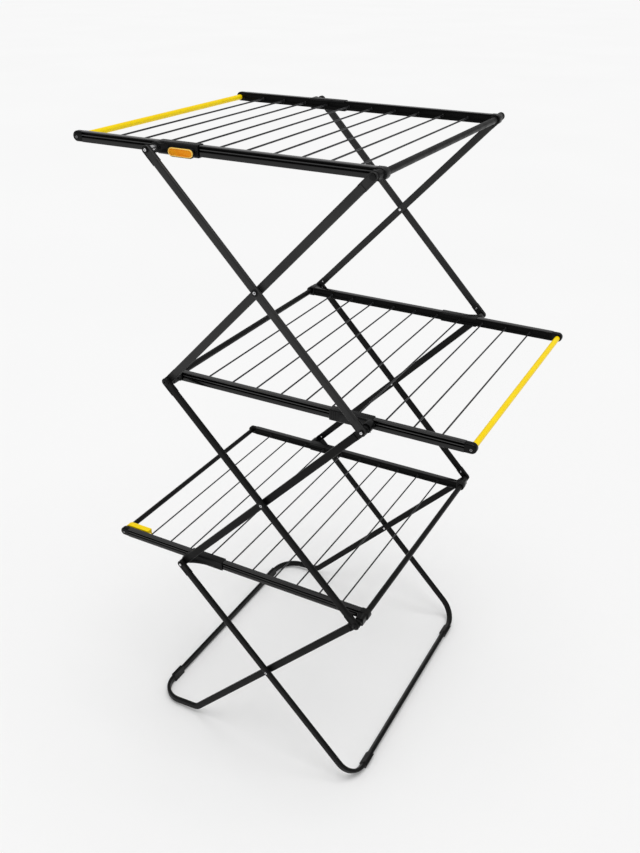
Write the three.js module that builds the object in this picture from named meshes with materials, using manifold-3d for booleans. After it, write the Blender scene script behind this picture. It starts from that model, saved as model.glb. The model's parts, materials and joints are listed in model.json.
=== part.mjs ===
// A free-standing folding airer: three drying racks carried by two stacks of crossed legs.
// Millimetres, +Z up, +X along the rails, +Y across the wires. The origin is on the floor, midway
// between the crossed legs. "near" is the -Y side and "far" the +Y side.
import * as THREE from 'three';
import { mergeVertices } from 'three/addons/utils/BufferGeometryUtils.js';
import Module from 'manifold-3d';

const wasm = await Module();
wasm.setup();

// Folding geometry, opened out.
const SPAN = 440; // between the hinged joint and the sliding joint of a rack
const TIER = 457.5; // from one rack to the next
const LEG = Math.hypot(SPAN, TIER);
const LEAN = Math.atan2(TIER, SPAN); // leg above the horizontal
const FLOOR_BAR_Z = 10.5;
const FOOT_REACH = 326; // from the lowest crossing to the floor bar, along the leg
const CROSSING_Z = FLOOR_BAR_Z + FOOT_REACH * Math.sin(LEAN);
const JOINT_Z = [0.5, 1.5, 2.5].map((tiers) => CROSSING_Z + tiers * TIER); // bottom, middle, top
const GAP = 0.3; // clearance between parts that touch

// Flat oval leg tube, and the two planes that the legs fold in on each side.
const TUBE_WIDE = 16.6;
const TUBE_THIN = 9;
const TUBE_WALL = 0.8;
const OUTER_Y = 331.3;
const INNER_Y = 320.3;
const PIN_R = 3;
const PIN_HOLE_R = PIN_R + GAP;
const HEAD_R = 5.5;
const HEAD_H = 1.5;
const STUB_HEAD_H = 1;

// Foot frames.
const RIGHT_BEND_R = 54;
const LEFT_BEND_R = 60;
const KINK_REACH = 314.5; // from the lowest crossing to the left frame's kink, just off the floor
const LEFT_BAR_X = -335;
const KINK_R = 26;
const BEND_STEPS = 7;
const PAD_LENGTH = 38;
const PAD_WALL = 1.3;
const PAD_SLOT = 7;

// Rails. Positions along a rail are measured from its hinged joint towards the free end.
const RAIL_Y = 288;
const RAIL_DROP = 1.3; // rail centre below the joint axis
const RAIL_HALF_W = 6.5;
const RAIL_HALF_H = 10;
const RAIL_START = 9;
const RAIL_END = 622;
const RAIL_TIP = 645;
const CHAMFER = 1;
const CAVITY = { inner: 5.1, outer: -2, half: 8.6 };
const GROOVE_DEPTH = 3.1;
const UPPER_GROOVE = [4.2, 8.6];
const LOWER_GROOVE = [-1, 2];

// Wires.
const WIRES = 10;
const FIRST_WIRE_S = 60.2;
const WIRE_PITCH = 56.7;
const WIRE_R = 1.75;
const WIRE_Z = -1; // from the rail centre
const STRIP = { from: 26, to: 604, inner: 4.7, outer: 1.7, low: -2.5, high: 0.5 };

// Cross tubes at the two ends of a rack.
const HINGE_TUBE_S = -1.7;
const HINGE_TUBE_R = 6.5;
const END_BAR_S = 635;
const END_BAR_R = 6;
const END_BAR_Z = -1.5;
const SOCKET_FLOOR = -1;

// Sliders.
const SLIDER_BACK = -86; // from the pivot towards the hinged end
const SLIDER_FRONT = 2;
const SLIDER_TOP = 11.1;
const SLIDER_BOTTOM = -12;
const SLIDER_WALL = 2.7;
const WEB_HALF_H = 7.5;
const KEY_FRONT = -22; // the key stops here, so that it stays on the rail when folded
const BOSS_R = 10;
const BRACKET_BOSS_R = 7.8;
const ARM_R = 4.5; // carries the top rack's single leg, out beyond the boss

// Lock button in the top near slider.
const BUTTON_S = -53;
const BUTTON_LENGTH = 53;
const BUTTON_H = 15;
const BUTTON_Z = -4;
const BUTTON_FACE = -18.4;
const BUTTON_BACK = -12.6;
const HOUSING_FACE = -16;
const STEM_HALF = [6, 1.5];
const STEM_END = -10.3;

// Carrying clip on the bottom rack.
const CLIP_Y = [-276.5, -262];
const CLIP_REACH = 58;
const CLIP_WALL = 2;

const BLACK = 0x161618;
const finishes = {
  rail: { color: 0x141416, roughness: 0.42, metalness: 0.35 },
  tube: { color: 0x222224, roughness: 0.5, metalness: 0.3 },
  wire: { color: 0x3a3a3e, roughness: 0.45, metalness: 0.4 },
  plastic: { color: BLACK, roughness: 0.55, metalness: 0 },
  rubber: { color: 0x101010, roughness: 0.8, metalness: 0 },
  yellow: { color: 0xffc800, roughness: 0.4, metalness: 0 },
  orange: { color: 0xf08a10, roughness: 0.35, metalness: 0 },
  steel: { color: 0xd8d8da, roughness: 0.3, metalness: 0.9 },
};

const airer = new THREE.Group();

// ---- solids ----------------------------------------------------------------------------------

function solid(geometry) {
  const bare = geometry.clone();
  bare.deleteAttribute('normal');
  bare.deleteAttribute('uv');
  const merged = mergeVertices(bare, 1e-4);
  return new wasm.Manifold(new wasm.Mesh({
    numProp: 3,
    vertProperties: new Float32Array(merged.attributes.position.array),
    triVerts: new Uint32Array(merged.index.array),
  }));
}

function join(...geometries) {
  return geometries.map(solid).reduce((whole, piece) => whole.add(piece));
}

function cut(whole, ...tools) {
  return tools.map(solid).reduce((left, tool) => left.subtract(tool), whole);
}

function geometryOf(manifold) {
  const mesh = manifold.getMesh();
  const geometry = new THREE.BufferGeometry();
  geometry.setAttribute('position', new THREE.Float32BufferAttribute(mesh.vertProperties, 3));
  geometry.setIndex(Array.from(mesh.triVerts));
  return geometry;
}

// The same piece on the other side of the XZ plane.
function mirrored(geometry) {
  const copy = geometry.clone();
  copy.scale(1, -1, 1);
  if (!copy.index) copy.setIndex([...Array(copy.attributes.position.count).keys()]);
  const order = copy.index.array;
  for (let i = 0; i < order.length; i += 3) {
    [order[i], order[i + 1]] = [order[i + 1], order[i]];
  }
  return copy;
}

function polygon(points) {
  return new THREE.Shape(points.map(([x, y]) => new THREE.Vector2(x, y)));
}

function extrude(shape, depth, bevel = 0) {
  return new THREE.ExtrudeGeometry(shape, {
    depth: depth - 2 * bevel,
    bevelEnabled: bevel > 0,
    bevelThickness: bevel,
    bevelSize: bevel,
    bevelOffset: -bevel,
    bevelSegments: 1,
    curveSegments: 8,
  }).translate(0, 0, bevel);
}

// A shape drawn in (x, z), standing from y = low to y = high.
function acrossY(shape, low, high, bevel = 0) {
  const toWorld = new THREE.Matrix4().makeBasis(
    new THREE.Vector3(1, 0, 0),
    new THREE.Vector3(0, 0, 1),
    new THREE.Vector3(0, -1, 0),
  );
  return extrude(shape, high - low, bevel).applyMatrix4(toWorld).translate(0, high, 0);
}

// A shape drawn in (y, z), running from x = low to x = high.
function alongX(shape, low, high) {
  const toWorld = new THREE.Matrix4().makeBasis(
    new THREE.Vector3(0, 1, 0),
    new THREE.Vector3(0, 0, 1),
    new THREE.Vector3(1, 0, 0),
  );
  return extrude(shape, high - low).applyMatrix4(toWorld).translate(low, 0, 0);
}

function block(x, y, z) {
  return new THREE.BoxGeometry(x[1] - x[0], y[1] - y[0], z[1] - z[0])
    .translate((x[0] + x[1]) / 2, (y[0] + y[1]) / 2, (z[0] + z[1]) / 2);
}

// A round bar along Y.
function rod(radius, low, high, x = 0, z = 0, sides = 14) {
  return new THREE.CylinderGeometry(radius, radius, high - low, sides).translate(x, (low + high) / 2, z);
}

function stadium(length, height, x = 0, z = 0) {
  const half = (length - height) / 2;
  const shape = new THREE.Shape();
  shape.absarc(x + half, z, height / 2, -Math.PI / 2, Math.PI / 2);
  shape.absarc(x - half, z, height / 2, Math.PI / 2, 1.5 * Math.PI);
  return shape;
}

// A bevelled round of tube width: the closed-off end of a leg.
function legEnd(x, z, y) {
  const round = new THREE.Shape();
  round.absarc(x, z, TUBE_WIDE / 2, 0, 2 * Math.PI);
  return acrossY(round, y - TUBE_THIN / 2, y + TUBE_THIN / 2, 2);
}

function place(name, geometry, finish, parent = airer) {
  const material = new THREE.MeshStandardMaterial({ ...finishes[finish], flatShading: true });
  const mesh = new THREE.Mesh(geometry, material);
  mesh.name = name;
  parent.add(mesh);
  return mesh;
}

// Places a near-side piece and its mirror image on the far side.
function placePair(name, geometry, finish, parent = airer, turned = false) {
  place(`${name}_${turned ? 'far' : 'near'}`, geometry, finish, parent);
  place(`${name}_${turned ? 'near' : 'far'}`, mirrored(geometry), finish, parent);
}

// ---- legs ------------------------------------------------------------------------------------

function straightLeg() {
  const flat = [-TUBE_THIN / 2, TUBE_THIN / 2];
  const body = solid(acrossY(stadium(LEG + TUBE_WIDE, TUBE_WIDE, LEG / 2), ...flat, 2));
  const bore = block(
    [TUBE_WIDE, LEG - TUBE_WIDE],
    [TUBE_WALL - TUBE_THIN / 2, TUBE_THIN / 2 - TUBE_WALL],
    [1.5 * TUBE_WALL - TUBE_WIDE / 2, TUBE_WIDE / 2 - 1.5 * TUBE_WALL],
  );
  const holes = [0, LEG / 2, LEG].map((x) => rod(PIN_HOLE_R, -TUBE_THIN, TUBE_THIN, x));
  return geometryOf(cut(body, bore, ...holes));
}

// The leg runs down from a joint at its upper end, outward to the right or to the left.
function placeLegs(name, jointX, jointZ, planeY, direction) {
  const geometry = straightLeg();
  for (const [side, y] of [['near', -planeY], ['far', planeY]]) {
    const leg = place(`${name}_${side}`, geometry, 'tube');
    leg.position.set(jointX, y, jointZ);
    leg.rotation.y = direction > 0 ? LEAN : Math.PI - LEAN;
  }
}

// ---- foot frames -----------------------------------------------------------------------------

// A route through given stations, so that straight runs need no steps of their own.
class Route extends THREE.Curve {
  constructor(points) {
    super();
    this.points = points;
  }

  station(t) {
    return Math.round(t * (this.points.length - 1));
  }

  getPoint(t, target = new THREE.Vector3()) {
    return target.copy(this.points[this.station(t)]);
  }

  getTangent(t, target = new THREE.Vector3()) {
    const here = this.station(t);
    const last = this.points.length - 1;
    const before = this.points[Math.max(here - 1, 0)];
    const after = this.points[Math.min(here + 1, last)];
    const middle = this.points[here];
    target.copy(after).sub(middle).normalize();
    const arriving = middle.clone().sub(before).normalize();
    return target.add(arriving).normalize();
  }

  getUtoTmapping(u) {
    return u;
  }
}

// Stations of a route that turns at each corner with the given radius.
function roundedRoute(corners) {
  const points = [];
  corners.forEach(({ at, radius = 0, steps = BEND_STEPS }, i) => {
    if (!radius) {
      points.push(at);
      return;
    }
    const back = corners[i - 1].at.clone().sub(at).normalize();
    const on = corners[i + 1].at.clone().sub(at).normalize();
    const turn = Math.PI - back.angleTo(on);
    const reach = radius * Math.tan(turn / 2);
    const centre = back.clone().add(on).normalize().multiplyScalar(radius / Math.cos(turn / 2)).add(at);
    const from = at.clone().addScaledVector(back, reach).sub(centre);
    const axis = back.clone().cross(on).normalize().negate();
    for (let k = 0; k <= steps; k += 1) {
      points.push(from.clone().applyAxisAngle(axis, (turn * k) / steps).add(centre));
    }
  });
  return new Route(points);
}

// The tube's section, thin across the frame and wide along it.
function tubeSection(shrink, corner) {
  const x = TUBE_THIN / 2 - shrink;
  const y = TUBE_WIDE / 2 - shrink;
  return polygon([
    [corner - x, -y], [x - corner, -y], [x, corner - y], [x, y - corner],
    [x - corner, y], [corner - x, y], [-x, y - corner], [-x, corner - y],
  ]);
}

function sweep(shape, route) {
  return new THREE.ExtrudeGeometry(shape, {
    steps: route.points.length - 1,
    extrudePath: route,
    bevelEnabled: false,
  });
}

// corners: the near half of the frame, from its upper joint to the floor bar.
function footFrame(corners, planeY) {
  const far = corners.map(({ at, ...rest }) => ({ at: at.clone().setY(-at.y), ...rest })).reverse();
  const whole = [...corners, ...far];
  const joint = corners[0].at;
  const down = corners[1].at.clone().sub(joint).normalize();
  const inset = (list) => list.map((corner, i) => {
    const isEnd = i === 0 || i === list.length - 1;
    return isEnd ? { at: corner.at.clone().addScaledVector(down, TUBE_WIDE) } : corner;
  });
  const ends = [-planeY, planeY].map((y) => legEnd(joint.x, joint.z, y));
  const holes = [joint.x, 0].flatMap((x) => [-planeY, planeY].map((y) => rod(
    PIN_HOLE_R,
    y - TUBE_THIN,
    y + TUBE_THIN,
    x,
    x ? joint.z : CROSSING_Z,
  )));
  const body = join(sweep(tubeSection(0, 2), roundedRoute(whole)), ...ends);
  return geometryOf(cut(body, sweep(tubeSection(TUBE_WALL, 1), roundedRoute(inset(whole))), ...holes));
}

// A clip-on pad: a split sleeve round the floor bar with a flat sole on the floor.
function footPad(barX, tilt) {
  const sleeve = new THREE.Shape();
  const x = TUBE_THIN / 2 + PAD_WALL;
  const y = TUBE_WIDE / 2 + PAD_WALL;
  sleeve.moveTo(-x, -y).lineTo(x, -y).lineTo(x, y).lineTo(-x, y).closePath();
  const turn = new THREE.Matrix4().makeRotationY(tilt);
  const upright = (geometry) => geometry.applyMatrix4(turn).translate(barX, 0, FLOOR_BAR_Z);
  const inside = tubeSection(-GAP, 2);
  const sole = polygon([
    [barX - x - 1, 0], [barX + x + 1, 0], [barX + x, FLOOR_BAR_Z], [barX - x, FLOOR_BAR_Z],
  ]);
  const half = PAD_LENGTH / 2;
  const outer = join(upright(acrossY(sleeve, -half, half)), acrossY(sole, -half, half));
  const split = upright(block([-PAD_SLOT / 2, PAD_SLOT / 2], [-half - 1, half + 1], [0, 2 * y]));
  const under = block([barX - 2 * y, barX + 2 * y], [-half - 1, half + 1], [-2 * y, 0]);
  return geometryOf(cut(outer, upright(acrossY(inside, -half - 1, half + 1)), split, under));
}

// ---- racks -----------------------------------------------------------------------------------
// A rack is drawn with its hinged joint at the origin and its rails running to +X, for the near
// side: y is measured from the rail centre, outward negative, and moved out by RAIL_Y.

function outward(geometry) {
  return geometry.translate(0, -RAIL_Y, -RAIL_DROP);
}

function rail() {
  const w = RAIL_HALF_W;
  const h = RAIL_HALF_H;
  const slotLow = WIRE_Z - 2.2;
  const slotHigh = WIRE_Z + 2.2;
  const { inner, outer, half } = CAVITY;
  const floor = GROOVE_DEPTH - w;
  const section = polygon([
    [CHAMFER - w, -h], [w - CHAMFER, -h], [w, CHAMFER - h],
    [w, slotLow], [inner, slotLow], [inner, -half], [outer, -half],
    [outer, half], [inner, half], [inner, slotHigh], [w, slotHigh],
    [w, h - CHAMFER], [w - CHAMFER, h], [CHAMFER - w, h], [-w, h - CHAMFER],
    [-w, UPPER_GROOVE[1]], [floor, UPPER_GROOVE[1]], [floor, UPPER_GROOVE[0]], [-w, UPPER_GROOVE[0]],
    [-w, LOWER_GROOVE[1]], [floor, LOWER_GROOVE[1]], [floor, LOWER_GROOVE[0]], [-w, LOWER_GROOVE[0]],
    [-w, CHAMFER - h],
  ]);
  return outward(alongX(section, RAIL_START, RAIL_END));
}

// A tongue that plugs into the rail's cavity.
function tongue(from, to) {
  return block([from, to], [CAVITY.outer + 0.4, CAVITY.inner - 0.4], [0.4 - CAVITY.half, CAVITY.half - 0.4]);
}

function endCap() {
  const h = RAIL_HALF_H;
  const length = RAIL_TIP - RAIL_END - GAP;
  const nose = new THREE.Shape();
  nose.moveTo(RAIL_TIP - length, -h);
  nose.absarc(RAIL_TIP - h, 0, h, -Math.PI / 2, Math.PI / 2);
  nose.lineTo(RAIL_TIP - length, h);
  const body = join(acrossY(nose, -RAIL_HALF_W, RAIL_HALF_W, 0.8), tongue(RAIL_END - 14, RAIL_END + 3));
  const socket = rod(END_BAR_R + GAP, SOCKET_FLOOR, RAIL_HALF_W + 1, END_BAR_S, END_BAR_Z);
  const recess = rod(3.2, -RAIL_HALF_W - 1, 0.9 - RAIL_HALF_W, END_BAR_S, END_BAR_Z);
  return outward(geometryOf(cut(body, socket, recess)));
}

function crossTube(radius, s, z) {
  const reach = RAIL_Y - SOCKET_FLOOR - GAP;
  const bore = radius - 1.2;
  const ring = [[bore, -reach], [radius, -reach], [radius, reach], [bore, reach], [bore, -reach]];
  const profile = ring.map(([r, y]) => new THREE.Vector2(r, y));
  return new THREE.LatheGeometry(profile, 16).translate(s, 0, z - RAIL_DROP);
}

// Ten wires held at both ends in strips that lie inside the rails.
function wireDeck() {
  const reach = RAIL_Y - STRIP.inner + 2;
  const strips = [-1, 1].map((side) => {
    const y = [side * (RAIL_Y - STRIP.outer), side * (RAIL_Y - STRIP.inner)].sort((a, b) => a - b);
    return block([STRIP.from, STRIP.to], y, [STRIP.low, STRIP.high]);
  });
  const wires = Array.from({ length: WIRES }, (_, i) => (
    rod(WIRE_R, -reach, reach, FIRST_WIRE_S + i * WIRE_PITCH, WIRE_Z, 8)
  ));
  return geometryOf(join(...strips, ...wires)).translate(0, 0, -RAIL_DROP);
}

// The pin's stub and snap head that hold the legs on a moulded boss.
function stub(face, end, x = 0) {
  return [
    rod(PIN_R, end, face + 2, x, RAIL_DROP),
    rod(HEAD_R, end - STUB_HEAD_H, end, x, RAIL_DROP),
  ];
}

const LEG_FACES = {
  innerLeg: RAIL_Y - INNER_Y + TUBE_THIN / 2, // the inner leg's face that looks at the rail
  betweenLegs: RAIL_Y - INNER_Y - TUBE_THIN / 2,
  outerLeg: RAIL_Y - OUTER_Y + TUBE_THIN / 2,
  outside: RAIL_Y - OUTER_Y - TUBE_THIN / 2,
};

// The corner bracket at the hinged end, with its own stub where only one leg is hung on it.
function hingeBracket(ownStub) {
  const half = RAIL_HALF_H + 0.5;
  const corner = new THREE.Shape();
  corner.moveTo(RAIL_START - GAP, -half);
  corner.lineTo(RAIL_START - GAP, half);
  corner.absarc(HINGE_TUBE_S, 0, half, Math.PI / 2, 1.5 * Math.PI);
  const face = LEG_FACES.innerLeg + 0.5;
  const web = new THREE.Shape();
  web.moveTo(-7, -7);
  web.lineTo(-6, face + 3);
  web.lineTo(6, face + 3);
  web.quadraticCurveTo(8, -12, 13, -9.5);
  web.lineTo(13, -RAIL_HALF_W - GAP);
  web.lineTo(-7, -RAIL_HALF_W - GAP);
  const pieces = [
    acrossY(corner, -8.5, 8, 1),
    extrude(web, 2 * WEB_HALF_H).translate(0, 0, -WEB_HALF_H),
    rod(BRACKET_BOSS_R, face, -6.8, 0, RAIL_DROP, 20),
    tongue(RAIL_START - 1, RAIL_START + 14),
    ...(ownStub ? stub(face, LEG_FACES.betweenLegs - 0.5) : []),
  ];
  const tools = [rod(HINGE_TUBE_R + GAP, SOCKET_FLOOR, 10, HINGE_TUBE_S, 0)];
  if (!ownStub) tools.push(rod(PIN_HOLE_R, face - 5, -12.5, 0, RAIL_DROP));
  return outward(geometryOf(cut(join(...pieces), ...tools)));
}

// A sliding shoe: a channel that hooks over the rail, with a boss that carries the legs. A web
// braces the boss, all the way out where both legs hang on it and part of the way on the top rack.
function slider(face, hasButton) {
  const w = RAIL_HALF_W + 0.4;
  const h = RAIL_HALF_H + GAP;
  const out = -w - SLIDER_WALL;
  const [low, top] = [SLIDER_BOTTOM, SLIDER_TOP];
  const hook = w + 2.4;
  const keyLow = UPPER_GROOVE[0] + 0.4;
  const keyHigh = UPPER_GROOVE[1] - 0.4;
  const key = GROOVE_DEPTH - RAIL_HALF_W - 0.4;
  const channel = polygon([
    [out + 2, low], [w - 0.6, low], [w - 0.6, -h], [-w, -h], [-w, h], [w, h], [w, h - 3],
    [hook, h - 3], [hook, top - 0.8], [hook - 0.8, top], [out + 2, top], [out, top - 2], [out, low + 2],
  ]);
  const web = new THREE.Shape();
  const carriesTwo = face > LEG_FACES.betweenLegs;
  const bossEnd = carriesTwo ? face : out - 9;
  const webEnd = carriesTwo ? face + 3 : out - 8;
  web.moveTo(carriesTwo ? -76 : -24, out + 0.6);
  web.quadraticCurveTo(carriesTwo ? -24 : -11, out - 3, -8, webEnd);
  web.lineTo(BOSS_R - 2, webEnd);
  web.lineTo(SLIDER_FRONT, out - 2);
  web.lineTo(SLIDER_FRONT, out + 0.6);
  const pieces = [
    alongX(channel, SLIDER_BACK, SLIDER_FRONT),
    block([SLIDER_BACK, KEY_FRONT], [-w - 1, key], [keyLow, keyHigh]),
    extrude(web, 2 * WEB_HALF_H).translate(0, 0, -WEB_HALF_H),
    rod(BOSS_R, bossEnd, out + 0.6, 0, RAIL_DROP, 20),
    rod(ARM_R, face, bossEnd + 2, 0, RAIL_DROP),
    ...stub(face, LEG_FACES.outside - 0.5),
  ];
  const tools = [];
  if (hasButton) {
    const [across, up] = STEM_HALF.map((size) => size + 0.4);
    pieces.push(
      acrossY(stadium(BUTTON_LENGTH + 3, BUTTON_H + 3, BUTTON_S, BUTTON_Z), HOUSING_FACE, out + 0.6, 0.6),
    );
    tools.push(
      acrossY(
        stadium(BUTTON_LENGTH + 0.8, BUTTON_H + 0.8, BUTTON_S, BUTTON_Z),
        HOUSING_FACE - 1,
        out + 0.4,
      ),
      block([BUTTON_S - across, BUTTON_S + across], [out - 1, 1 - w], [BUTTON_Z - up, BUTTON_Z + up]),
    );
  }
  return outward(geometryOf(cut(join(...pieces), ...tools)));
}

function lockButton() {
  const [across, up] = STEM_HALF;
  const stem = block(
    [BUTTON_S - across, BUTTON_S + across],
    [BUTTON_BACK - 1, STEM_END],
    [BUTTON_Z - up, BUTTON_Z + up],
  );
  const plate = acrossY(stadium(BUTTON_LENGTH, BUTTON_H, BUTTON_S, BUTTON_Z), BUTTON_FACE, BUTTON_BACK, 1);
  return outward(geometryOf(join(plate, stem)));
}

function rack(name, level, hingeOnRight, freeEnd) {
  const group = new THREE.Group();
  group.position.set(hingeOnRight ? SPAN / 2 : -SPAN / 2, 0, JOINT_Z[level]);
  group.rotation.z = hingeOnRight ? Math.PI : 0;
  const isTop = level === 2;
  placePair(`${name}_rail`, rail(), 'rail', group, hingeOnRight);
  placePair(`${name}_end_cap`, endCap(), 'plastic', group, hingeOnRight);
  placePair(`${name}_hinge_bracket`, hingeBracket(isTop), 'plastic', group, hingeOnRight);
  place(`${name}_hinge_tube`, crossTube(HINGE_TUBE_R, HINGE_TUBE_S, 0), 'tube', group);
  place(`${name}_${freeEnd.name}`, crossTube(END_BAR_R, END_BAR_S, END_BAR_Z), freeEnd.finish, group);
  place(`${name}_wires`, wireDeck(), 'wire', group);
  airer.add(group);
  return group;
}

// The near shoe of a rack with its hinge on the right is the mirror image of the far one.
function placeSliders(name, group, hingeOnRight, face, hasButton) {
  const turnedSide = mirrored(slider(face, hasButton)).translate(SPAN, 0, 0);
  const plainSide = slider(face, false).translate(SPAN, 0, 0);
  place(`${name}_slider_${hingeOnRight ? 'near' : 'far'}`, turnedSide, 'plastic', group);
  place(`${name}_slider_${hingeOnRight ? 'far' : 'near'}`, plainSide, 'plastic', group);
}

// ---- pins and clip ---------------------------------------------------------------------------

// A shouldered pin along Y for the near side, from its outer head to its inner end.
function pin(x, z, innerEnd, innerHead) {
  const outside = -OUTER_Y - TUBE_THIN / 2 - GAP;
  const between = -(OUTER_Y + INNER_Y) / 2;
  return geometryOf(join(
    rod(PIN_R, outside - 0.2, innerEnd, x, z),
    rod(HEAD_R, outside - HEAD_H, outside, x, z),
    rod(HEAD_R, between - 0.45, between + 0.45, x, z),
    ...(innerHead ? [rod(HEAD_R, innerEnd - HEAD_H, innerEnd, x, z)] : []),
  ));
}

// A carrying clip that swings about the bottom rack's left cross tube.
function carryingClip(x, z) {
  const [low, high] = CLIP_Y;
  const arm = [x, x + CLIP_REACH];
  const top = z + 10;
  const body = join(
    rod(END_BAR_R + GAP + 2.6, low, high, x, z, 20),
    block(arm, [low, high], [z + 0.5, top]),
    block([arm[1] - 4, arm[1]], [low, low + CLIP_WALL], [z - 5, z + 1]),
    block([arm[1] - 4, arm[1]], [high - CLIP_WALL, high], [z - 5, z + 1]),
  );
  return geometryOf(cut(
    body,
    rod(END_BAR_R + GAP, low - 1, high + 1, x, z, 20),
    block([x + 13, arm[1] - 3], [low + CLIP_WALL, high - CLIP_WALL], [z - 1, top - CLIP_WALL]),
  ));
}

// ---- assembly --------------------------------------------------------------------------------

const [lowZ, midZ, topZ] = JOINT_Z;
const right = SPAN / 2;
const left = -SPAN / 2;

const yellowBar = { name: 'yellow_bar', finish: 'yellow' };
const bottomRack = rack('bottom', 0, true, { name: 'end_tube', finish: 'tube' });
const middleRack = rack('middle', 1, false, yellowBar);
const topRack = rack('top', 2, true, yellowBar);
placeSliders('bottom', bottomRack, true, LEG_FACES.innerLeg + 0.5, false);
placeSliders('middle', middleRack, false, LEG_FACES.innerLeg + 0.5, false);
placeSliders('top', topRack, true, LEG_FACES.outerLeg + 0.5, true);
place('lock_button', mirrored(lockButton()).translate(SPAN, 0, 0), 'orange', topRack);

placeLegs('upper_outer_leg', left, topZ, OUTER_Y, 1);
placeLegs('upper_inner_leg', right, topZ, INNER_Y, -1);
placeLegs('lower_outer_leg', left, midZ, OUTER_Y, 1);
placeLegs('lower_inner_leg', right, midZ, INNER_Y, -1);

const rightBarX = FOOT_REACH * Math.cos(LEAN);
const kinkX = -KINK_REACH * Math.cos(LEAN);
const kinkZ = CROSSING_Z - KINK_REACH * Math.sin(LEAN);
const toeSlope = Math.atan2(kinkZ - FLOOR_BAR_Z, kinkX - LEFT_BAR_X);
place('right_foot_frame', footFrame([
  { at: new THREE.Vector3(left, -OUTER_Y, lowZ) },
  { at: new THREE.Vector3(rightBarX, -OUTER_Y, FLOOR_BAR_Z), radius: RIGHT_BEND_R },
], OUTER_Y), 'tube');
place('left_foot_frame', footFrame([
  { at: new THREE.Vector3(right, -INNER_Y, lowZ) },
  { at: new THREE.Vector3(kinkX, -INNER_Y, kinkZ), radius: KINK_R, steps: 3 },
  { at: new THREE.Vector3(LEFT_BAR_X, -INNER_Y, FLOOR_BAR_Z), radius: LEFT_BEND_R },
], INNER_Y), 'tube');

const padMiddle = (planeY, bend) => planeY - bend - PAD_LENGTH / 2 - 1;
const pads = [
  ['right', footPad(rightBarX, LEAN), padMiddle(OUTER_Y, RIGHT_BEND_R)],
  ['left', footPad(LEFT_BAR_X, -toeSlope), padMiddle(INNER_Y, LEFT_BEND_R)],
];
for (const [side, geometry, y] of pads) {
  place(`${side}_foot_pad_near`, geometry, 'rubber').position.y = -y;
  place(`${side}_foot_pad_far`, geometry, 'rubber').position.y = y;
}

const innerFace = -INNER_Y + TUBE_THIN / 2 + GAP + HEAD_H;
['bottom', 'middle', 'top'].forEach((name, level) => {
  placePair(`${name}_cross_pin`, pin(0, CROSSING_Z + level * TIER, innerFace, true), 'steel');
});
const bossDepth = -RAIL_Y - 15;
placePair('bottom_hinge_pin', pin(right, lowZ, bossDepth, false), 'plastic');
placePair('middle_hinge_pin', pin(left, midZ, bossDepth, false), 'plastic');

place('carrying_clip', carryingClip(right - END_BAR_S, lowZ - RAIL_DROP + END_BAR_Z), 'yellow');

export default airer;
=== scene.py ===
"""Looks for the folding clothes airer: finishes, detailed pieces, floor, light and camera."""

import json
import math

import bmesh
import bpy
from mathutils import Matrix, Vector


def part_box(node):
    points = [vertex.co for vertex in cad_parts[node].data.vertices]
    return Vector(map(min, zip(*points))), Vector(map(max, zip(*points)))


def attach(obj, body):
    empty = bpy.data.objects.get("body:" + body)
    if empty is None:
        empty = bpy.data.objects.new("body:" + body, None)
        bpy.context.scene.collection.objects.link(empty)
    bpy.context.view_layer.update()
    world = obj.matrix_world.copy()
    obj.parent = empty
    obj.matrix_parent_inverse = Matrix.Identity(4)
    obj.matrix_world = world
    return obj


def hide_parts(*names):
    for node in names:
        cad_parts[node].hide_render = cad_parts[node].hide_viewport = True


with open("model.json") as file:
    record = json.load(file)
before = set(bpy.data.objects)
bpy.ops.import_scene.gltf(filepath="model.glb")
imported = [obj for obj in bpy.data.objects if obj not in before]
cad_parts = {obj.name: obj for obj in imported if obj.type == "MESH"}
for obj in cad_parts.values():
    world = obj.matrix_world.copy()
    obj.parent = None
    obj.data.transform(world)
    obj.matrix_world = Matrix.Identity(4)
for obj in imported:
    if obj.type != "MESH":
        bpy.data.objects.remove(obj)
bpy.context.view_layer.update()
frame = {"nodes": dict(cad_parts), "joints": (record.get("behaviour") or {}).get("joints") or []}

# Shapes are drawn in millimetres, in the frame's axes, and made in metres.
MM = 0.001
X = Vector((1, 0, 0))
Y = Vector((0, 1, 0))
Z = Vector((0, 0, 1))
SIDES = {"near": -1, "far": 1}


def box_mm(node):
    low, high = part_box(node)
    return low / MM, high / MM


def middle_of(node):
    low, high = box_mm(node)
    return (low + high) / 2


joint_at = {j["name"]: Vector(j["pos_m"]) / MM for j in frame["joints"] if "pos_m" in j}

# Rails: out is away from the rack's middle, up is from the rail's centre.
RAIL_HALF_W = 6.5
RAIL_HALF_H = 10.0
RAIL_Y = middle_of("top_rail_far").y
RAIL_UP = middle_of("top_rail_far").z - joint_at["top_rack_pivot"].z
LOWER_FLANGE_TOP = -1.0
RIB_BOTTOM = 2.0
RIB_TOP = 4.2
UPPER_FLANGE_BOTTOM = 8.6
LOWER_GROOVE_DEPTH = 4.0
UPPER_GROOVE_DEPTH = 4.6
CHANNEL_HALF_H = 2.4
CHANNEL_DEPTH = 1.3
CAP_GAP = 0.3
SPAN = joint_at["fold"].x - joint_at["bottom_slider_pivot"].x

# Wires, and the collars round their ends. Both start inside the rail's inner face.
WIRE_UP = -1.0
WIRE_R = 1.75
FIRST_WIRE_S = 60.2
WIRE_PITCH = 56.7
WIRES = 10
WIRE_INSET = 2.5
COLLAR_INSET = 1.4

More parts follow.
